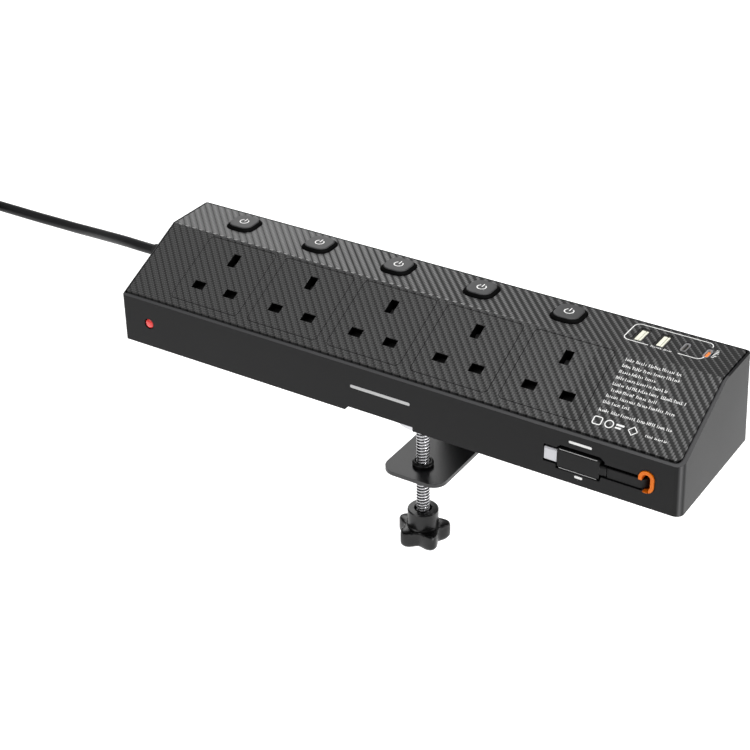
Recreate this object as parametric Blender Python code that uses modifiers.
"""Desk power strip: five switched sockets, USB ports, a pull-out USB-C lead and a desk clamp.

Frame: origin on the desk surface, in the clamp bracket's middle plane. +X runs along the row of
sockets to the USB end, +Y towards the back of the desk, +Z up. Dimensions are in millimetres,
and every helper turns them into metres as it builds a mesh.
"""
import math

import bmesh
import bpy
from mathutils import Matrix, Vector

MM = 0.001
GAP = 0.3                      # running and assembly clearance between neighbouring pieces

# Housing ------------------------------------------------------------------------------------
LEFT_X, RIGHT_X = -177.3, 175.3    # at the roof
FRONT_Y = -41.5
DEPTH = 84.3                   # at the roof
FRONT_HEIGHT = 29.8
RIDGE_FROM_FRONT = 51.75
HEIGHT = 54.9
END_LEAN = 1.6                 # how far the right end and the back stand out at the bottom
REAR_LEAN = 2.6
SKIRT_LIFT = 0.5               # the shell's lower edge stands this far off the desk
WALL = 2.2
CORNER_RADII = (3.0, 1.2, 1.4, 4.5)   # rear right, rear left, front left, front right
PANEL_RECESS = 1.5
PANEL_THICKNESS = 1.2
ROOF_WALL = 2.0                # shell left under the recess

REAR_Y = FRONT_Y + DEPTH
RIDGE_Y = FRONT_Y + RIDGE_FROM_FRONT
SLOPE_RISE = HEIGHT - FRONT_HEIGHT
SLOPE_ANGLE = math.atan2(SLOPE_RISE, RIDGE_FROM_FRONT)
SLOPE_LENGTH = math.hypot(SLOPE_RISE, RIDGE_FROM_FRONT)
ROOF_DEPTH = PANEL_RECESS + ROOF_WALL

# Slope frame: local x along the strip, local y up the slope, local z out of the slope.
SLOPE = Matrix.Translation(Vector((0, FRONT_Y, FRONT_HEIGHT)) * MM) @ Matrix.Rotation(SLOPE_ANGLE, 4, "X")
LEVEL = Matrix.Identity(4)

# Inlaid panel: its margins from the housing's edges, and the groove left around it.
RECESS_LEFT, RECESS_RIGHT = 0.6, 1.3
RECESS_FRONT = 1.7
RECESS_REAR = 0.8
RECESS_RADII = (2.2, 0.8, 0.8, 3.6)
GROOVE_LEFT, GROOVE_RIGHT = 0.5, 1.0
GROOVE_FRONT = 1.8
GROOVE_REAR = 0.3

# Sockets (BS 1363): pin centres and apertures.
SOCKET_COUNT = 5
SOCKET_PITCH = 53.8
FIRST_SOCKET_X = -123.6
PIN_ROW_UP = 21.0              # line and neutral centres, up the slope from the front edge
EARTH_UP = PIN_ROW_UP + 22.2
PIN_HALF_SPREAD = 11.1
FACE_SIZE = 46.8
FACE_CENTRE_UP = 31.9
FACE_SHIFT = -0.4              # the face's outline sits a little left of its pins
FACE_RADIUS = 2.6
PLUG_IN_SIZE = 40.4            # the block behind each face, through the shell
PLUG_IN_DEPTH = 5.0
FACE_SKIN = 1.2                # face thickness where the line and neutral slots pass
EARTH_SLOT = (5.2, 9.0)
LINE_SLOT = (7.6, 5.4)
LINE_PASSAGE = (4.3, -5.2, 3.0)   # half width, and reach down and up the slope, behind the skin
SOCKET_XS = [FIRST_SOCKET_X + SOCKET_PITCH * i for i in range(SOCKET_COUNT)]

# Shutters and contact bars, measured down from the slope's surface.
SHUTTER_TOP = 5.4
SHUTTER_THICKNESS = 1.2
SHUTTER_HALF_WIDTH = 16.0
SHUTTER_LOW, SHUTTER_HIGH = 17.6, 24.6
SHUTTER_ARM_HALF = 2.2
SHUTTER_ARM_HIGH = 45.0
BAR_TOP = 24.0
BAR_THICKNESS = 0.8
CLIP_TOP = 9.0
CLIP_OFFSET = 2.45             # leaf centre to pin centre
LIVE_STRIP = (12.0, 17.0)
NEUTRAL_STRIP = (25.2, 30.2)
EARTH_STRIP = (33.0, 38.0)
BAR_END = 8.0                  # strip length past the outer clips

# Push buttons on the flat top.
BUTTON_OFFSET_X = -15.1        # from its socket's centre line
BUTTON_Y = 29.0
BUTTON_BASE = (18.2, 18.4, 6.2)
BUTTON_TOP = (14.4, 14.8, 4.6)
BUTTON_RISE = 2.2
BUTTON_SINK = 3.2
BUTTON_CLEARANCE = 0.4
STEM_SIZE = 4.0
STEM_LOW = 45.4
SWITCH_SIZE = (13.0, 13.0, 12.0)
SWITCH_TOP = 43.3

# USB ports, long sides across the strip.
PORT_Y = 29.2
PORT_XS = (119.1, 131.6, 144.1, 156.6)
USB_A_SIZE = (5.8, 12.9)
USB_C_SIZE = (3.4, 9.2)
PORT_TOP = HEIGHT - 0.25
PORT_DEPTH = 13.0
PORT_CLEARANCE = 0.35
BOARD_SIZE = (62.0, 26.0, 1.6)
BOARD_CENTRE = (138.0, 26.0)
BOARD_TOP = 40.9

# Power lamp on the front face.
LAMP_X, LAMP_Z, LAMP_RADIUS = -158.8, 15.4, 3.0

# Pull-out lead: USB-C plug in a pocket, flat cable through a grommet, reel inside.
POCKET_DEPTH = 7.0
POCKET_BLOCK = (96.5, 165.0, 5.6, 25.6, 9.8)      # x0, x1, z0, z1, depth behind the front face
LEAD_Y, LEAD_Z = FRONT_Y + 3.3, 13.8
SHELL_X = (99.8, 107.6)
SHELL_Y = FRONT_Y + 1.7        # the metal shell lies nearly flush with the front
SHELL_SIZE = (8.4, 2.6)
GRIP_X = (107.3, 131.2)
GRIP_SIZE = (12.3, 6.2)
GRIP_Z = 13.4
STUB_END_X = 135.0
POCKET_GAP = (0.35, 2.2)       # under and over the lead
CABLE_Y, CABLE_Z = FRONT_Y + 1.6, 13.2
CABLE_HEIGHT = 6.0
CABLE_THICKNESS = 1.8
GROMMET_CENTRE = (157.3, 15.9)
GROMMET_OUTER = (8.6, 12.8, 4.2)
GROMMET_INNER = (4.6, 8.8, 2.2)
GROMMET_PROUD = 0.7
GROMMET_LENGTH = 6.6
CABLE_BEND = 4.5
REEL_Y = 8.5
REEL_WOUND_RADIUS = 15.0
REEL_CENTRE = (GROMMET_CENTRE[0] - REEL_WOUND_RADIUS, REEL_Y)
REEL_FLANGE_RADIUS = 19.5
REEL_LOW, REEL_HIGH = 8.0, 18.4
REEL_CASE_RADIUS = 22.6

# Base cover and its feet.
BASE_LOW, BASE_THICKNESS = 1.1, 2.4
CHANNEL_HALF_WIDTH = 20.6
CHANNEL_TOP = 3.1
NOTCH_SLANT = 2.4
FOOT_SIZE = (96.0, 12.0, 0.8)
FOOT_SPREAD = (95.0, 26.0)

# Desk clamp: bent steel bracket, screw, knob and pad.
BRACKET_HALF_WIDTH = 20.0
STEEL = 2.5
ARM_FRONT_Y = -28.0
WEB_Y = 56.0                   # inner face, against the desk's edge
PLATE_TOP = -54.0
PLATE_FRONT_Y = -12.0
PLATE_CORNER = 9.0
SCREW_Y = 3.9
SCREW_RADIUS = 4.0
BUSH_RADIUS = 6.3
BUSH_TOP = PLATE_TOP + 3.0
PAD_RADIUS = 14.8
PAD_BOTTOM, PAD_TOP = -22.2, -18.7
RUBBER_TOP = -17.2
KNOB_BOSS_RADIUS = 9.2
KNOB_BOSS_TOP = -84.3
KNOB_STAR_TOP = -95.4
KNOB_BOTTOM = -106.0
KNOB_STAR_RADIUS = 16.2
KNOB_LOBES = 5
BRACKET_SCREW_YS = (-19.0, 26.0)

# Mains cord: leaves the left end, comes down to the desk, runs along it and is coiled.
CORD_RADIUS = 3.4
CORD_EXIT_Y, CORD_EXIT_Z = 28.2, 20.0
RELIEF_LENGTH = 32.0
CORD_ROUTE = [
    (-209.6, 28.2, 20.0), (-220, 28.6, 19.7), (-234, 31.6, 17.9), (-249, 36.3, 14.7), (-265, 42.0, 10.7),
    (-280, 46.8, 7.3), (-295, 50.1, 4.8), (-310, 51.5, 3.8), (-326, 51.6, 3.5), (-343, 51.6, 3.5),
    (-369.1, 51.6, 3.5),
]
COIL_CENTRE = (-396.0, -0.4)
COIL_OUTER, COIL_INNER = 52.0, 29.7
COIL_HEIGHT = 13.8
TAIL_ANGLE = math.radians(255.0)
TAIL_START = 28.0              # along the tail, from where it leaves the coil's turns
TAIL_END = 41.0
TAIL_Z = 10.4
PLUG_RELIEF_LENGTH = 22.0
PLUG_SIZE = (46.0, 50.0, 20.0)

BLACK = ((0.032, 0.032, 0.034), 0.45, 0.0)
SATIN = ((0.025, 0.025, 0.027), 0.35, 0.0)
CARBON = ((0.060, 0.060, 0.062), 0.40, 0.1)
BRASS = ((0.72, 0.53, 0.22), 0.30, 1.0)
STEEL_BLACK = ((0.03, 0.03, 0.032), 0.25, 0.6)
CHROME = ((0.80, 0.80, 0.82), 0.15, 1.0)
ORANGE = ((0.95, 0.25, 0.02), 0.45, 0.0)
RUBBER = ((0.02, 0.02, 0.02), 0.80, 0.0)
CREAM = ((0.85, 0.84, 0.76), 0.50, 0.0)
GREEN = ((0.02, 0.18, 0.06), 0.50, 0.0)
RED = ((0.80, 0.03, 0.03), 0.25, 0.0)
GREY = ((0.30, 0.30, 0.31), 0.50, 0.0)


# Scene and material helpers -------------------------------------------------------------------
for stale in list(bpy.data.objects):
    bpy.data.objects.remove(stale)

PARTS = bpy.data.collections.new("desk_power_strip")
CUTTERS = bpy.data.collections.new("cutters")
for group in (PARTS, CUTTERS):
    bpy.context.scene.collection.children.link(group)


def material(name, look):
    colour, roughness, metallic = look
    made = bpy.data.materials.new(name)
    made.use_nodes = True
    shader = made.node_tree.nodes["Principled BSDF"]
    shader.inputs["Base Color"].default_value = (*colour, 1.0)
    shader.inputs["Roughness"].default_value = roughness
    shader.inputs["Metallic"].default_value = metallic
    made.diffuse_color = (*colour, 1.0)
    return made


def part(name, mesh, look, place=LEVEL):
    """One named piece of the object, with a material of its own."""
    made = bpy.data.objects.new(name, mesh)
    PARTS.objects.link(made)
    made.matrix_world = place
    mesh.materials.append(material(name, look))
    return made


def cutter(name, mesh, place=LEVEL):
    made = bpy.data.objects.new(name, mesh)
    CUTTERS.objects.link(made)
    made.matrix_world = place
    made.hide_render = True
    made.display_type = "WIRE"
    return made


def combine(target, tool, operation="DIFFERENCE"):
    change = target.modifiers.new(tool.name, "BOOLEAN")
    change.operation = operation
    change.solver = "EXACT"
    change.object = tool
    return target


def bevel(target, width, segments=2):
    edge = target.modifiers.new("rounded edges", "BEVEL")
    edge.width = width * MM
    edge.segments = segments
    edge.limit_method = "ANGLE"
    edge.angle_limit = math.radians(40)
    return target


# Mesh helpers, all in millimetres ---------------------------------------------------------------
def box(x0, x1, y0, y1, z0, z1):
    mesh = bpy.data.meshes.new("box")
    work = bmesh.new()
    bmesh.ops.create_cube(work, size=1.0)
    size = Matrix.Diagonal((x1 - x0, y1 - y0, z1 - z0, 1.0))
    middle = Matrix.Translation(((x0 + x1) / 2, (y0 + y1) / 2, (z0 + z1) / 2))
    work.transform(Matrix.Scale(MM, 4) @ middle @ size)
    work.to_mesh(mesh)
    work.free()
    return mesh


PLANES = {
    # rows: where the outline's own x, y and its thickness direction point
    "XY": Matrix(((1, 0, 0), (0, 1, 0), (0, 0, 1))),
    "YZ": Matrix(((0, 0, 1), (1, 0, 0), (0, 1, 0))),
    "XZ": Matrix(((1, 0, 0), (0, 0, -1), (0, 1, 0))),
}


def outline(points, low, high, plane="XY"):
    """A flat outline in the given plane, from low to high along the plane's normal axis."""
    curve = bpy.data.curves.new("outline", "CURVE")
    curve.dimensions = "2D"
    curve.fill_mode = "BOTH"
    curve.extrude = (high - low) / 2 * MM
    line = curve.splines.new("POLY")
    line.points.add(len(points) - 1)
    for point, (across, up) in zip(line.points, points):
        point.co = (across * MM, up * MM, 0, 1)
    line.use_cyclic_u = True
    holder = bpy.data.objects.new("outline", curve)
    bpy.context.scene.collection.objects.link(holder)
    bpy.context.view_layer.update()
    mesh = bpy.data.meshes.new_from_object(holder.evaluated_get(bpy.context.evaluated_depsgraph_get()))
    bpy.data.objects.remove(holder)
    turn = PLANES[plane]
    middle = (low + high) / 2 * MM * (-1 if plane == "XZ" else 1)
    work = bmesh.new()
    work.from_mesh(mesh)
    bmesh.ops.remove_doubles(work, verts=work.verts, dist=1e-6)
    bmesh.ops.dissolve_limit(work, angle_limit=math.radians(0.5), verts=work.verts, edges=work.edges)
    work.transform(turn.to_4x4() @ Matrix.Translation((0, 0, middle)))
    bmesh.ops.recalc_face_normals(work, faces=work.faces)
    if work.calc_volume(signed=True) < 0:
        bmesh.ops.reverse_faces(work, faces=work.faces)
    work.to_mesh(mesh)
    work.free()
    return mesh


def arc(centre, radius, start, end, steps):
    angles = [math.radians(start + (end - start) * i / steps) for i in range(steps + 1)]
    return [(centre[0] + radius * math.cos(a), centre[1] + radius * math.sin(a)) for a in angles]


def rounded(width, height, radius, centre=(0, 0), steps=4):
    """Points of a rounded rectangle, anticlockwise."""
    across, up = width / 2, height / 2
    corners = ((centre[0] - across, centre[1] - up), (centre[0] + across, centre[1] + up))
    return cornered(*corners, (radius,) * 4, steps)


def cornered(low, high, radii, steps=4):
    """A rectangle between two corners; radii run from high x, high y anticlockwise."""
    points = []
    for (x, y), (sign_x, sign_y), start, radius in zip(
            (high, (low[0], high[1]), low, (high[0], low[1])), ((-1, -1), (1, -1), (1, 1), (-1, 1)),
            (0, 90, 180, 270), radii):
        points += arc((x + sign_x * radius, y + sign_y * radius), radius, start, start + 90, steps)
    return points


def loft(levels):
    """A closed body between (outline, height) levels with equally many points."""
    mesh = bpy.data.meshes.new("loft")
    work = bmesh.new()
    rings = [[work.verts.new((x * MM, y * MM, z * MM)) for x, y in points] for points, z in levels]
    work.faces.new(list(reversed(rings[0])))
    work.faces.new(rings[-1])
    for lower, upper in zip(rings, rings[1:]):
        for i in range(len(lower)):
            following = (i + 1) % len(lower)
            work.faces.new((lower[i], lower[following], upper[following], upper[i]))
    work.to_mesh(mesh)
    work.free()
    return mesh


def cylinder(radius, low, high, centre=(0, 0), axis="Z", segments=32, tip_radius=None):
    """A cylinder or cone along an axis; centre gives the other two coordinates in order."""
    mesh = bpy.data.meshes.new("cylinder")
    work = bmesh.new()
    top = radius if tip_radius is None else tip_radius
    bmesh.ops.create_cone(work, cap_ends=True, segments=segments, radius1=radius, radius2=top,
                          depth=high - low)
    turn = {"Z": Matrix.Identity(4), "X": Matrix.Rotation(math.pi / 2, 4, "Y"),
            "Y": Matrix.Rotation(-math.pi / 2, 4, "X")}[axis]
    middle = (low + high) / 2
    place = {"Z": (*centre, middle), "X": (middle, *centre), "Y": (centre[0], middle, centre[1])}[axis]
    work.transform(Matrix.Scale(MM, 4) @ Matrix.Translation(place) @ turn)
    work.to_mesh(mesh)
    work.free()
    for face in mesh.polygons:
        face.use_smooth = len(face.vertices) == 4
    return mesh


def turned(profile, place, look, name, steps=36):
    """A piece turned about its own Z: profile is (radius, height), closed or from axis to axis."""
    area = sum(r0 * z1 - r1 * z0 for (r0, z0), (r1, z1) in zip(profile, profile[1:] + profile[:1]))
    line = profile if area < 0 else list(reversed(profile))
    edges = [(i, i + 1) for i in range(len(line) - 1)]
    if line[0][0] > 0:
        edges.append((len(line) - 1, 0))
    mesh = bpy.data.meshes.new(name)
    mesh.from_pydata([(radius * MM, 0, height * MM) for radius, height in line], edges, [])
    made = part(name, mesh, look, place)
    spin = made.modifiers.new("turn", "SCREW")
    spin.axis = "Z"
    spin.steps = spin.render_steps = steps
    spin.use_merge_vertices = True
    spin.merge_threshold = 1e-6
    return made


def at(x, y, z):
    return Matrix.Translation(Vector((x, y, z)) * MM)


def set_origin(piece, place):
    """Moves a piece's origin, and leaves its shape where it is."""
    piece.data.transform(place.inverted() @ piece.matrix_world)
    piece.matrix_world = place


# Housing ------------------------------------------------------------------------------------------
def roof_line(drop):
    """The roof's section at a depth under its surface: front, ridge and rear points (y, z)."""
    lean = math.tan(SLOPE_ANGLE)
    front = FRONT_HEIGHT - drop / math.cos(SLOPE_ANGLE)
    top = HEIGHT - drop
    ridge = FRONT_Y + (top - front) / lean
    return front, ridge, top


def under_roof(drop, low):
    """Everything from a height up to a depth under the roof, wider than the housing."""
    front, ridge, top = roof_line(drop)
    reach = 20.0
    points = [(FRONT_Y - reach, low), (REAR_Y + reach, low), (REAR_Y + reach, top), (ridge, top),
              (FRONT_Y - reach, front - reach * math.tan(SLOPE_ANGLE))]
    return outline(points, LEFT_X - reach, RIGHT_X + reach, "YZ")


def walls(inset, low, high):
    """The housing's outline in plan between two heights: the right end and the back lean out."""
    levels = []
    for z in (low, high):
        lean = (HEIGHT - z) / HEIGHT
        corners = ((LEFT_X + inset, FRONT_Y + inset),
                   (RIGHT_X + END_LEAN * lean - inset, REAR_Y + REAR_LEAN * lean - inset))
        levels.append((cornered(*corners, [max(radius - inset, 0.6) for radius in CORNER_RADII], 5), z))
    return loft(levels)


def make_shell():
    shell = part("housing_shell", walls(0, SKIRT_LIFT, HEIGHT + 5), BLACK)
    combine(shell, cutter("roof", under_roof(0, -5)), "INTERSECT")
    hollow = cutter("hollow", walls(WALL, -8, HEIGHT + 8))
    combine(hollow, cutter("hollow_roof", under_roof(ROOF_DEPTH, -10)), "INTERSECT")
    combine(shell, hollow)
    combine(shell, panel_space("panel_recess", 0, PANEL_RECESS, over=4))
    x0, x1, z0, z1, depth = POCKET_BLOCK
    combine(shell, cutter("pocket_block", box(x0, x1, FRONT_Y + WALL / 2, FRONT_Y + depth, z0, z1)), "UNION")
    for cut_name, mesh in pocket_cuts():
        combine(shell, cutter(cut_name, mesh))
    for i, x in enumerate(SOCKET_XS, 1):
        width = PLUG_IN_SIZE + 2 * GAP
        opening = outline(rounded(width, width, 2.0, (x, FACE_CENTRE_UP)), -9, 6)
        combine(shell, cutter(f"socket_opening_{i}", opening, SLOPE))
        combine(shell, button_well(f"shell_button_well_{i}", x))
    for i, x in enumerate(PORT_XS, 1):
        combine(shell, port_opening(f"shell_port_opening_{i}", i, x))
    hole = cylinder(LAMP_RADIUS + GAP, FRONT_Y - 3, FRONT_Y + 5, (LAMP_X, LAMP_Z), "Y")
    combine(shell, cutter("lamp_hole", hole))
    gland = cylinder(5.4, LEFT_X - 4, LEFT_X + 6, (CORD_EXIT_Y, CORD_EXIT_Z), "X")
    combine(shell, cutter("gland_hole", gland))
    half = CHANNEL_HALF_WIDTH
    notch = [(-half - 2 * NOTCH_SLANT, SKIRT_LIFT - (CHANNEL_TOP - SKIRT_LIFT)), (half, SKIRT_LIFT - 4),
             (half, CHANNEL_TOP), (-half, CHANNEL_TOP)]
    combine(shell, cutter("clamp_notch", outline(notch, FRONT_Y - 5, REAR_Y + REAR_LEAN + 5, "XZ")))
    return shell


def panel_space(name, top, depth, over=0.0, groove=False):
    """A layer just under the roof, in plan a rounded rectangle inside the housing's edges."""
    left, right, front, rear = ((RECESS_LEFT + GROOVE_LEFT, RECESS_RIGHT + GROOVE_RIGHT, RECESS_FRONT + GROOVE_FRONT,
                                 RECESS_REAR + GROOVE_REAR) if groove else
                                (RECESS_LEFT, RECESS_RIGHT, RECESS_FRONT, RECESS_REAR))
    upper, lower = roof_line(top - over), roof_line(top + depth)
    lean = math.tan(SLOPE_ANGLE)
    reach = 20.0
    points = [(FRONT_Y - reach, lower[0] - reach * lean), (lower[1], lower[2]), (REAR_Y + reach, lower[2]),
              (REAR_Y + reach, upper[2]), (upper[1], upper[2]), (FRONT_Y - reach, upper[0] - reach * lean)]
    mesh = outline(points, LEFT_X, RIGHT_X, "YZ")
    low = (LEFT_X + left, FRONT_Y + front * math.cos(SLOPE_ANGLE))
    high = (RIGHT_X - right, REAR_Y - rear)
    plan = cornered(low, high, [max(radius - (0.6 if groove else 0), 0.4) for radius in RECESS_RADII], 6)
    layer = part(name, mesh, CARBON) if groove else cutter(name, mesh)
    combine(layer, cutter(f"{name}_plan", outline(plan, -5, HEIGHT + 5)), "INTERSECT")
    return layer


def button_well(name, socket_x):
    width, depth, radius = BUTTON_BASE
    spare = 2 * BUTTON_CLEARANCE
    centre = (socket_x + BUTTON_OFFSET_X, BUTTON_Y)
    plan = rounded(width + spare, depth + spare, radius + BUTTON_CLEARANCE, centre, 5)
    return cutter(name, outline(plan, HEIGHT - 7, HEIGHT + 4))


def port_opening(name, number, x):
    width, depth = USB_A_SIZE if number <= 2 else USB_C_SIZE
    radius = 0.8 if number <= 2 else width / 2
    spare = 2 * PORT_CLEARANCE
    plan = rounded(width + spare, depth + spare, radius, (x, PORT_Y))
    return cutter(name, outline(plan, HEIGHT - 8, HEIGHT + 4))


def pocket_cuts():
    """The lead's pocket, stepped to fit its plug, grip and cable, with finger space above."""
    front, back = FRONT_Y - 4, FRONT_Y + POCKET_DEPTH
    under, over = POCKET_GAP
    shell_low, shell_high = LEAD_Z - SHELL_SIZE[0] / 2 - under, LEAD_Z + SHELL_SIZE[0] / 2 + over - 0.6
    grip_low, grip_high = GRIP_Z - GRIP_SIZE[0] / 2 - under, GRIP_Z + GRIP_SIZE[0] / 2 + over
    step, end = GRIP_X[0] - 0.6, GRIP_X[1] + 0.6
    start = SHELL_X[0] - 0.35
    plug = [(start, shell_low), (step, shell_low), (step, grip_low), (end, grip_low),
            (end + 2.6, grip_high - 2.2), (end - 0.4, grip_high), (step + 2.4, grip_high), (step, shell_high),
            (start, shell_high)]
    yield "pocket_plug", outline(plug, front, back, "XZ")
    low, high = CABLE_Z - CABLE_HEIGHT / 2 - under, CABLE_Z + CABLE_HEIGHT / 2 + over
    yield "pocket_channel", box(GRIP_X[1] - 1, GROMMET_CENTRE[0] - 2, front, FRONT_Y + 5.6, low, high)
    width, height, radius = GROMMET_OUTER
    hole = rounded(width + 2 * GAP, height + 2 * GAP, radius + GAP, GROMMET_CENTRE, 6)
    yield "grommet_hole", outline(hole, front, FRONT_Y + 14, "XZ")


def make_panel():
    panel = panel_space("carbon_panel", 0, PANEL_THICKNESS, groove=True)
    for i, x in enumerate(SOCKET_XS, 1):
        width = FACE_SIZE + 2 * GAP
        opening = outline(rounded(width, width, FACE_RADIUS + GAP, (x + FACE_SHIFT, FACE_CENTRE_UP)), -5, 5)
        combine(panel, cutter(f"panel_face_opening_{i}", opening, SLOPE))
        combine(panel, button_well(f"panel_button_well_{i}", x))
    for i, x in enumerate(PORT_XS, 1):
        combine(panel, port_opening(f"panel_port_opening_{i}", i, x))


def make_base():
    left, right = LEFT_X - 5, RIGHT_X + 5
    low, high = BASE_LOW, BASE_LOW + BASE_THICKNESS
    lift = CHANNEL_TOP - BASE_LOW
    inner, outer = CHANNEL_HALF_WIDTH, CHANNEL_HALF_WIDTH + BASE_THICKNESS
    section_line = [(left, low), (-inner, low), (-inner, low + lift), (inner, low + lift), (inner, low), (right, low),
                    (right, high), (outer, high), (outer, high + lift), (-outer, high + lift), (-outer, high),
                    (left, high)]
    base = part("base_cover", outline(section_line, FRONT_Y - 5, REAR_Y + 10, "XZ"), BLACK)
    combine(base, cutter("base_plan", walls(WALL + GAP, -5, 20)), "INTERSECT")
    for i, y in enumerate(BRACKET_SCREW_YS, 1):
        combine(base, cutter(f"base_screw_hole_{i}", cylinder(2.0 + GAP, -5, 12, (0, y), segments=20)))
    length, depth, thick = FOOT_SIZE
    for row, y in (("front", -FOOT_SPREAD[1]), ("rear", FOOT_SPREAD[1])):
        for side, x in (("left", -FOOT_SPREAD[0]), ("right", FOOT_SPREAD[0])):
            part(f"foot_strip_{row}_{side}", outline(rounded(length, depth, 5.5), 0, thick), RUBBER, at(x, y, 0))


# Sockets -------------------------------------------------------------------------------------------
def make_socket(number, x):
    place = SLOPE @ at(x, 0, 0)
    skin = rounded(FACE_SIZE, FACE_SIZE, FACE_RADIUS, (FACE_SHIFT, FACE_CENTRE_UP))
    face = part(f"socket_face_{number}", outline(skin, -PANEL_THICKNESS, 0), CARBON, place)
    plug_in = rounded(PLUG_IN_SIZE, PLUG_IN_SIZE, 1.7, (0, FACE_CENTRE_UP))
    block = cutter(f"face_block_{number}", outline(plug_in, -PLUG_IN_DEPTH, -PANEL_THICKNESS / 2), place)
    combine(face, block, "UNION")
    for pin, pin_x, up, size in (("earth", 0, EARTH_UP, EARTH_SLOT),
                                 ("line", -PIN_HALF_SPREAD, PIN_ROW_UP, LINE_SLOT),
                                 ("neutral", PIN_HALF_SPREAD, PIN_ROW_UP, LINE_SLOT)):
        half_width, half_height = size[0] / 2, size[1] / 2
        hole = box(pin_x - half_width, pin_x + half_width, up - half_height, up + half_height, -8, 4)
        combine(face, cutter(f"{pin}_slot_{number}", hole, place))
        if pin != "earth":
            half, low, high = LINE_PASSAGE
            passage = box(pin_x - half, pin_x + half, up + low, up + high, -8, -FACE_SKIN)
            combine(face, cutter(f"{pin}_passage_{number}", passage, place))
    make_shutter(number, place)


def make_shutter(number, place):
    low = -SHUTTER_TOP - SHUTTER_THICKNESS
    plate = box(-SHUTTER_HALF_WIDTH, SHUTTER_HALF_WIDTH, SHUTTER_LOW, SHUTTER_HIGH, low, -SHUTTER_TOP)
    shutter = part(f"shutter_{number}", plate, GREY, place)
    arm = box(-SHUTTER_ARM_HALF, SHUTTER_ARM_HALF, SHUTTER_HIGH - 1, SHUTTER_ARM_HIGH, low, -SHUTTER_TOP)
    combine(shutter, cutter(f"shutter_arm_{number}", arm, place), "UNION")


def make_bar(name, strip, clip_shift, earth=False):
    """A brass strip under the slope with a pair of spring leaves at every socket."""
    low, high = -BAR_TOP - BAR_THICKNESS, -BAR_TOP
    first, last = SOCKET_XS[0] + clip_shift - BAR_END, SOCKET_XS[-1] + clip_shift + BAR_END
    bar = part(name, box(first, last, strip[0], strip[1], low, high), BRASS, SLOPE)
    half = BAR_THICKNESS / 2
    for i, socket_x in enumerate(SOCKET_XS, 1):
        x = socket_x + clip_shift
        if earth:
            tab = box(x - 4, x + 4, strip[0] + 1, EARTH_UP + 4.5, low, high)
            leaves = [box(x + side * CLIP_OFFSET - half, x + side * CLIP_OFFSET + half, EARTH_UP - 4, EARTH_UP + 4,
                          low, -CLIP_TOP) for side in (-1, 1)]
        else:
            ends = sorted((PIN_ROW_UP + math.copysign(3.3, PIN_ROW_UP - strip[0]), (strip[0] + strip[1]) / 2))
            tab = box(x - 3.4, x + 3.4, ends[0], ends[1], low, high)
            leaves = [box(x - 3.3, x + 3.3, PIN_ROW_UP + side * CLIP_OFFSET - half,
                          PIN_ROW_UP + side * CLIP_OFFSET + half, low, -CLIP_TOP) for side in (-1, 1)]
        for kind, mesh in (("tab", tab), ("leaf_low", leaves[0]), ("leaf_high", leaves[1])):
            combine(bar, cutter(f"{name}_{kind}_{i}", mesh, SLOPE), "UNION")


# Buttons and switches -------------------------------------------------------------------------------
def make_button(number, socket_x):
    x = socket_x + BUTTON_OFFSET_X
    base = rounded(*BUTTON_BASE, steps=5)
    top = rounded(*BUTTON_TOP, steps=5)
    mesh = loft([(base, -BUTTON_SINK), (base, 0.15), (top, BUTTON_RISE)])
    button = part(f"button_{number}", mesh, BLACK, at(x, BUTTON_Y, HEIGHT))
    half = STEM_SIZE / 2
    stem = box(-half, half, -half, half, STEM_LOW - HEIGHT, -BUTTON_SINK + 0.5)
    combine(button, cutter(f"button_stem_{number}", stem, at(x, BUTTON_Y, HEIGHT)), "UNION")
    width, depth, tall = SWITCH_SIZE
    body = box(x - width / 2, x + width / 2, BUTTON_Y - depth / 2, BUTTON_Y + depth / 2, SWITCH_TOP - tall,
               SWITCH_TOP)
    bevel(part(f"switch_body_{number}", body, SATIN), 0.6, 1)


# USB ports -----------------------------------------------------------------------------------------
def make_port(number, x):
    wide = number <= 2
    width, depth = USB_A_SIZE if wide else USB_C_SIZE
    radius = 0.6 if wide else width / 2 - 0.05
    wall = 0.4
    low = PORT_TOP - PORT_DEPTH
    name = f"usb_a_port_{number}" if wide else f"usb_c_port_{number - 2}"
    port = part(name, outline(rounded(width, depth, radius, (x, PORT_Y)), low, PORT_TOP), CHROME)
    inner = rounded(width - 2 * wall, depth - 2 * wall, max(radius - wall, 0.2), (x, PORT_Y))
    combine(port, cutter(f"{name}_mouth", outline(inner, low + 1.5, PORT_TOP + 3)))
    tongue_width, tongue_depth, shift = (1.9, 10.6, -0.75) if wide else (0.75, 6.6, 0.0)
    tongue = box(x + shift - tongue_width / 2, x + shift + tongue_width / 2, PORT_Y - tongue_depth / 2,
                 PORT_Y + tongue_depth / 2, low + 0.5, PORT_TOP - 0.8)
    combine(port, cutter(f"{name}_tongue", tongue), "UNION")


def make_usb():
    for i, x in enumerate(PORT_XS, 1):
        make_port(i, x)
    length, depth, thick = BOARD_SIZE
    board = box(BOARD_CENTRE[0] - length / 2, BOARD_CENTRE[0] + length / 2, BOARD_CENTRE[1] - depth / 2,
                BOARD_CENTRE[1] + depth / 2, BOARD_TOP - thick, BOARD_TOP)
    part("usb_board", board, GREEN)


# Lamp ----------------------------------------------------------------------------------------------
def make_lamp():
    """A domed lens pushed out through the front wall, held by a flange behind it."""
    profile = [(0, 2.5), (1.6, 2.35), (2.6, 1.9), (LAMP_RADIUS, 1.3), (LAMP_RADIUS, -0.3), (4.3, -0.3), (4.3, -1.5),
               (0, -1.5)]
    place = at(LAMP_X, FRONT_Y + WALL, LAMP_Z) @ Matrix.Rotation(math.pi / 2, 4, "X")
    turned(profile, place, RED, "lamp_lens", 24)


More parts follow.
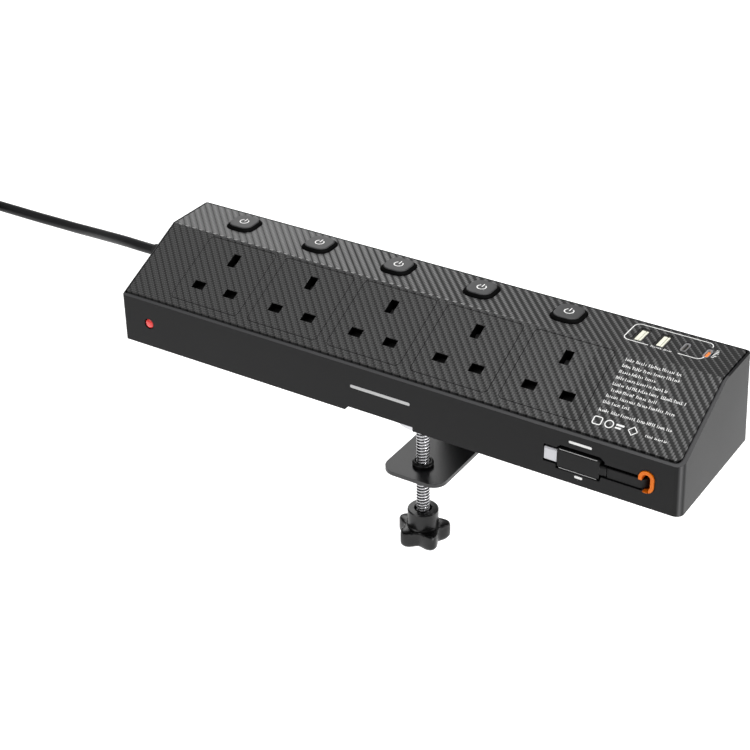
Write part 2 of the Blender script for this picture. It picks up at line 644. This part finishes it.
# Pull-out lead ---------------------------------------------------------------------------------------
def make_lead():
    shell_middle = (SHELL_Y, LEAD_Z)
    height, thick = SHELL_SIZE
    ring = rounded(thick, height, thick / 2 - 0.05, shell_middle, 5)
    shell = part("lead_plug_shell", outline(ring, SHELL_X[0], GRIP_X[0] - GAP, "YZ"), CHROME)
    mouth = rounded(thick - 0.7, height - 0.7, thick / 2 - 0.45, shell_middle, 5)
    combine(shell, cutter("lead_shell_mouth", outline(mouth, SHELL_X[0] - 2, SHELL_X[0] + 5.6, "YZ")))
    tall, deep = GRIP_SIZE
    grip = part("lead_plug_grip", outline(rounded(deep, tall, 1.6, (LEAD_Y, GRIP_Z), 3), *GRIP_X, "YZ"), BLACK)
    stub = outline(rounded(4.6, 6.0, 1.2, (LEAD_Y - 0.4, CABLE_Z), 3), GRIP_X[1] - 1, STUB_END_X, "YZ")
    combine(grip, cutter("lead_stub", stub), "UNION")
    half = CABLE_THICKNESS / 2
    inner, outer = CABLE_BEND - half, CABLE_BEND + half
    corner = (GROMMET_CENTRE[0] - CABLE_BEND, CABLE_Y + CABLE_BEND)
    reel_side = GROMMET_CENTRE[0]
    start = STUB_END_X + GAP
    ribbon = [(start, CABLE_Y + half), (start, CABLE_Y - half)]
    ribbon += arc(corner, outer, 270, 360, 8)
    ribbon += [(reel_side + half, REEL_Y), (reel_side - half, REEL_Y)]
    ribbon += arc(corner, inner, 360, 270, 8)
    cable = part("lead_cable", outline(ribbon, CABLE_Z - CABLE_HEIGHT / 2, CABLE_Z + CABLE_HEIGHT / 2), SATIN)
    for piece in (shell, grip, cable):
        set_origin(piece, at(GRIP_X[0], LEAD_Y, LEAD_Z))
    make_grommet()


def make_grommet():
    low, high = FRONT_Y - GROMMET_PROUD, FRONT_Y - GROMMET_PROUD + GROMMET_LENGTH
    grommet = part("lead_grommet", outline(rounded(*GROMMET_OUTER, GROMMET_CENTRE, 6), low, high, "XZ"), ORANGE)
    opening = outline(rounded(*GROMMET_INNER, GROMMET_CENTRE, 5), low - 3, high + 3, "XZ")
    combine(grommet, cutter("grommet_opening", opening))
    gap_low, gap_high = CABLE_Z - CABLE_HEIGHT / 2 - GAP, CABLE_Z + CABLE_HEIGHT / 2 + GAP
    side = box(GROMMET_CENTRE[0] - 8, GROMMET_CENTRE[0] + 1.6, low - 3, high + 3, gap_low, gap_high)
    combine(grommet, cutter("grommet_side_gap", side))


def make_reel():
    place = at(*REEL_CENTRE, 0)
    flange, hub = REEL_FLANGE_RADIUS, REEL_WOUND_RADIUS - CABLE_THICKNESS / 2 - GAP
    low, high = REEL_LOW, REEL_HIGH
    drum = [(flange, high), (flange, high - 1.2), (hub, high - 1.2), (hub, low + 1.2), (flange, low + 1.2),
            (flange, low), (10.4, low), (10.4, high - 2.6), (2.9, high - 2.6), (2.9, high)]
    turned(drum, place, GREY, "reel_drum")
    floor, rim = BASE_LOW + BASE_THICKNESS + GAP, high + 1.6
    wall = REEL_CASE_RADIUS
    case = [(0, floor), (wall, floor), (wall, rim), (wall - 1.2, rim), (wall - 1.2, floor + 2.0),
            (2.5, floor + 2.0), (2.5, rim - 0.4), (0, rim - 0.4)]
    body = turned(case, place, BLACK, "reel_case")
    slot = box(GROMMET_CENTRE[0] - 1.5, GROMMET_CENTRE[0] + 1.5, REEL_Y - 30, REEL_Y + 0.6,
               CABLE_Z - CABLE_HEIGHT / 2 - 0.6, rim + 3)
    combine(body, cutter("reel_case_slot", slot))
    make_reel_spring(place, REEL_LOW + 0.6, REEL_HIGH - 3.4)


def make_reel_spring(place, low, high):
    turns, inner, outer, steps = 4, 3.4, 9.6, 14
    half = 0.25
    angles = [2 * math.pi * turns * i / (turns * steps) for i in range(turns * steps + 1)]
    spiral = [(inner + (outer - inner) * a / angles[-1], a) for a in angles]
    outside = [((r + half) * math.cos(a), (r + half) * math.sin(a)) for r, a in spiral]
    inside = [((r - half) * math.cos(a), (r - half) * math.sin(a)) for r, a in reversed(spiral)]
    part("reel_spring", outline(outside + inside, low, high), STEEL_BLACK, place)


# Desk clamp ------------------------------------------------------------------------------------------
def make_bracket():
    web_out = WEB_Y + STEEL
    low = PLATE_TOP - STEEL
    bend, inner = 4.0, 1.5
    line = [(ARM_FRONT_Y, 0), (WEB_Y - inner, 0)]
    line += arc((WEB_Y - inner, -inner), inner, 90, 0, 3)[1:]
    line += arc((WEB_Y - inner, PLATE_TOP + inner), inner, 0, -90, 3)
    line += [(PLATE_FRONT_Y, PLATE_TOP), (PLATE_FRONT_Y, low)]
    line += arc((web_out - bend, low + bend), bend, 270, 360, 4)
    line += arc((web_out - bend, STEEL - bend), bend, 0, 90, 4)
    line += [(ARM_FRONT_Y, STEEL)]
    mesh = outline(list(reversed(line)), -BRACKET_HALF_WIDTH, BRACKET_HALF_WIDTH, "YZ")
    work = bmesh.new()
    work.from_mesh(mesh)
    ends = (PLATE_FRONT_Y * MM, ARM_FRONT_Y * MM)
    corners = [e for e in work.edges if all(abs(abs(v.co.x) - BRACKET_HALF_WIDTH * MM) < 1e-6 for v in e.verts)
               and abs(e.verts[0].co.x - e.verts[1].co.x) < 1e-6
               and any(all(abs(v.co.y - y) < 1e-6 for v in e.verts) for y in ends)]
    bmesh.ops.bevel(work, geom=corners, offset=PLATE_CORNER * MM, segments=7, profile=0.5, affect="EDGES")
    work.to_mesh(mesh)
    work.free()
    bracket = part("clamp_bracket", mesh, STEEL_BLACK)
    combine(bracket, cutter("bush_hole", cylinder(5.0 + GAP, low - 4, PLATE_TOP + 4, (0, SCREW_Y))))
    for i, y in enumerate(BRACKET_SCREW_YS, 1):
        combine(bracket, cutter(f"arm_screw_hole_{i}", cylinder(2.0 + GAP, -4, 7, (0, y), segments=20)))
        sink = cylinder(4.6, -0.2, STEEL - 0.4, (0, y), segments=20, tip_radius=2.2)
        combine(bracket, cutter(f"arm_countersink_{i}", sink))
        head = [(0, 8.2), (2.0, 8.2), (2.0, 2.2), (3.9, 0.3), (0, 0.3)]
        turned(head, at(0, y, 0), CHROME, f"bracket_screw_{i}", 20)


def make_clamp():
    make_bracket()
    place = at(0, SCREW_Y, 0)
    bore = SCREW_RADIUS + 0.35
    neck_low = PLATE_TOP - STEEL - 0.2
    bush = [(bore + 0.7, BUSH_TOP), (BUSH_RADIUS, BUSH_TOP - 0.9), (BUSH_RADIUS, PLATE_TOP + GAP),
            (5.0, PLATE_TOP + GAP), (5.0, neck_low), (bore, neck_low), (bore, BUSH_TOP - 0.9)]
    turned(bush, place, SATIN, "clamp_bush")
    socket_top = PAD_BOTTOM + 2.4
    rod = [(0, socket_top - GAP), (2.8, socket_top - GAP), (2.8, PAD_BOTTOM - GAP), (SCREW_RADIUS, PAD_BOTTOM - GAP),
           (SCREW_RADIUS, KNOB_STAR_TOP - 3.0), (0, KNOB_STAR_TOP - 3.0)]
    turned(rod, place, CHROME, "clamp_screw")
    pad = [(0, PAD_TOP), (PAD_RADIUS - 0.6, PAD_TOP), (PAD_RADIUS, PAD_TOP - 0.8), (PAD_RADIUS, PAD_BOTTOM),
           (2.8 + 0.35, PAD_BOTTOM), (2.8 + 0.35, socket_top), (0, socket_top)]
    turned(pad, place, CHROME, "clamp_pad")
    rubber = [(0, RUBBER_TOP), (13.6, RUBBER_TOP), (14.0, RUBBER_TOP - 0.4), (14.0, PAD_TOP + GAP),
              (0, PAD_TOP + GAP)]
    turned(rubber, place, RUBBER, "pad_rubber")
    make_knob(bore)


def make_knob(bore):
    steps = 60
    mean, swell = KNOB_STAR_RADIUS - 2.6, 2.6
    turn = math.radians(34)
    star = []
    for i in range(steps):
        angle = 2 * math.pi * i / steps
        radius = mean + swell * math.cos(KNOB_LOBES * (angle - turn))
        star.append((radius * math.cos(angle), radius * math.sin(angle)))
    place = at(0, SCREW_Y, 0)
    knob = part("clamp_knob", outline(star, KNOB_BOTTOM, KNOB_STAR_TOP), SATIN, place)
    boss = cylinder(KNOB_BOSS_RADIUS, KNOB_STAR_TOP - 2, KNOB_BOSS_TOP, segments=40)
    combine(knob, cutter("knob_boss", boss, place), "UNION")
    combine(knob, cutter("knob_bore", cylinder(bore, KNOB_STAR_TOP - 3.4, KNOB_BOSS_TOP + 3), place))
    mouth = cylinder(bore, KNOB_BOSS_TOP - 2.2, KNOB_BOSS_TOP + 0.5, tip_radius=bore + 1.2)
    combine(knob, cutter("knob_mouth", mouth, place))


# Mains cord and plug -------------------------------------------------------------------------------
def smooth(route, step):
    """Points about a step apart along a smooth curve through the route's own points."""
    ends = [2 * Vector(route[0]) - Vector(route[1])] + [Vector(p) for p in route]
    ends.append(2 * Vector(route[-1]) - Vector(route[-2]))
    points = []
    for before, start, end, after in zip(ends, ends[1:], ends[2:], ends[3:]):
        count = max(1, round((end - start).length / step))
        for i in range(count):
            t = i / count
            points.append(0.5 * (2 * start + (end - before) * t + (2 * before - 5 * start + 4 * end - after) * t * t
                                 + (3 * start - before - 3 * end + after) * t ** 3))
    return points + [ends[-2]]


def tail_frame():
    """Where the cord leaves the coil's outer turn, and the direction it leaves in."""
    start = Vector((COIL_CENTRE[0] + COIL_OUTER * math.cos(TAIL_ANGLE),
                    COIL_CENTRE[1] + COIL_OUTER * math.sin(TAIL_ANGLE), TAIL_Z))
    heading = Matrix.Rotation(TAIL_ANGLE + math.pi / 2, 4, "Z")
    return Matrix.Translation(start * MM) @ heading


def tube(name, points, radius, look):
    curve = bpy.data.curves.new(name, "CURVE")
    curve.dimensions = "3D"
    curve.bevel_depth = radius * MM
    curve.bevel_resolution = 3
    curve.use_fill_caps = True
    line = curve.splines.new("POLY")
    line.points.add(len(points) - 1)
    for point, place in zip(line.points, points):
        point.co = (*(Vector(place) * MM), 1)
    made = bpy.data.objects.new(name, curve)
    PARTS.objects.link(made)
    curve.materials.append(material(name, look))
    return made


def make_cord():
    exit_place = at(LEFT_X, CORD_EXIT_Y, CORD_EXIT_Z) @ Matrix.Rotation(-math.pi / 2, 4, "Y")
    relief = [(0, RELIEF_LENGTH), (CORD_RADIUS + 0.7, RELIEF_LENGTH), (6.6, 1.6), (6.6, GAP), (5.0, GAP),
              (5.0, -WALL - GAP), (7.6, -WALL - GAP), (7.6, -WALL - 2.3), (0, -WALL - 2.3)]
    turned(relief, exit_place, RUBBER, "strain_relief", 28)
    tube("cord_lead", smooth(CORD_ROUTE, 16), CORD_RADIUS, RUBBER)
    outer, inner = COIL_OUTER + CORD_RADIUS, COIL_INNER - CORD_RADIUS
    ring = [(outer, COIL_HEIGHT), (outer, 0.1), (inner, 0.1), (inner, COIL_HEIGHT)]
    turned(ring, at(*COIL_CENTRE, 0), RUBBER, "cord_coil", 40)
    tail = tail_frame()
    ends = [tail @ (Vector((along, 0, 0)) * MM) for along in (TAIL_START, (TAIL_START + TAIL_END) / 2, TAIL_END)]
    tube("cord_tail", [tuple(end / MM) for end in ends], CORD_RADIUS, RUBBER)
    make_plug(tail)


def make_plug(tail):
    """A three-pin plug lying on its back beside the coil, pins up; local x runs along the cord."""
    sleeve = tail @ at(TAIL_END + GAP, 0, 0) @ Matrix.Rotation(math.pi / 2, 4, "Y")
    profile = [(0, PLUG_RELIEF_LENGTH), (6.0, PLUG_RELIEF_LENGTH), (CORD_RADIUS + 0.6, 0), (0, 0)]
    turned(profile, sleeve, RUBBER, "plug_relief", 24)
    start = TAIL_END + 2 * GAP + PLUG_RELIEF_LENGTH
    length, width, thick = PLUG_SIZE
    down = tail @ at(start, 0, -TAIL_Z)
    half = width / 2
    plan = [(0, -9), (0, 9), (8, half - 5)] + arc((length - 22, half - 6), 6, 90, 90, 1)[:1]
    plan = arc((5, -8), 5, 180, 250, 3) + arc((13, -(half - 6)), 6, 260, 300, 2)
    plan += arc((length - 9, -(half - 9)), 9, 285, 350, 3)
    plan += [(x, -y) for x, y in reversed(plan)]
    body = part("mains_plug_body", outline(plan, 0, thick), RUBBER, down)
    bevel(body, 1.6, 2)
    row = 12.0
    for name, x, y, size_x, size_y, tall in (
            ("plug_live_pin", row, 11.1, 3.95, 6.35, 17.7), ("plug_neutral_pin", row, -11.1, 3.95, 6.35, 17.7),
            ("plug_earth_pin", row + 22.2, 0, 8.0, 4.0, 22.7)):
        pin = box(x - size_x / 2, x + size_x / 2, y - size_y / 2, y + size_y / 2, thick + GAP, thick + GAP + tall)
        bevel(part(name, pin, BRASS, down), 0.5, 1)


def main():
    make_shell()
    make_panel()
    make_base()
    for number, x in enumerate(SOCKET_XS, 1):
        make_socket(number, x)
        make_button(number, x)
    make_bar("live_bar", LIVE_STRIP, -PIN_HALF_SPREAD)
    make_bar("neutral_bar", NEUTRAL_STRIP, PIN_HALF_SPREAD)
    make_bar("earth_bar", EARTH_STRIP, 0, earth=True)
    make_usb()
    make_lamp()
    make_lead()
    make_reel()
    make_clamp()
    make_cord()


main()
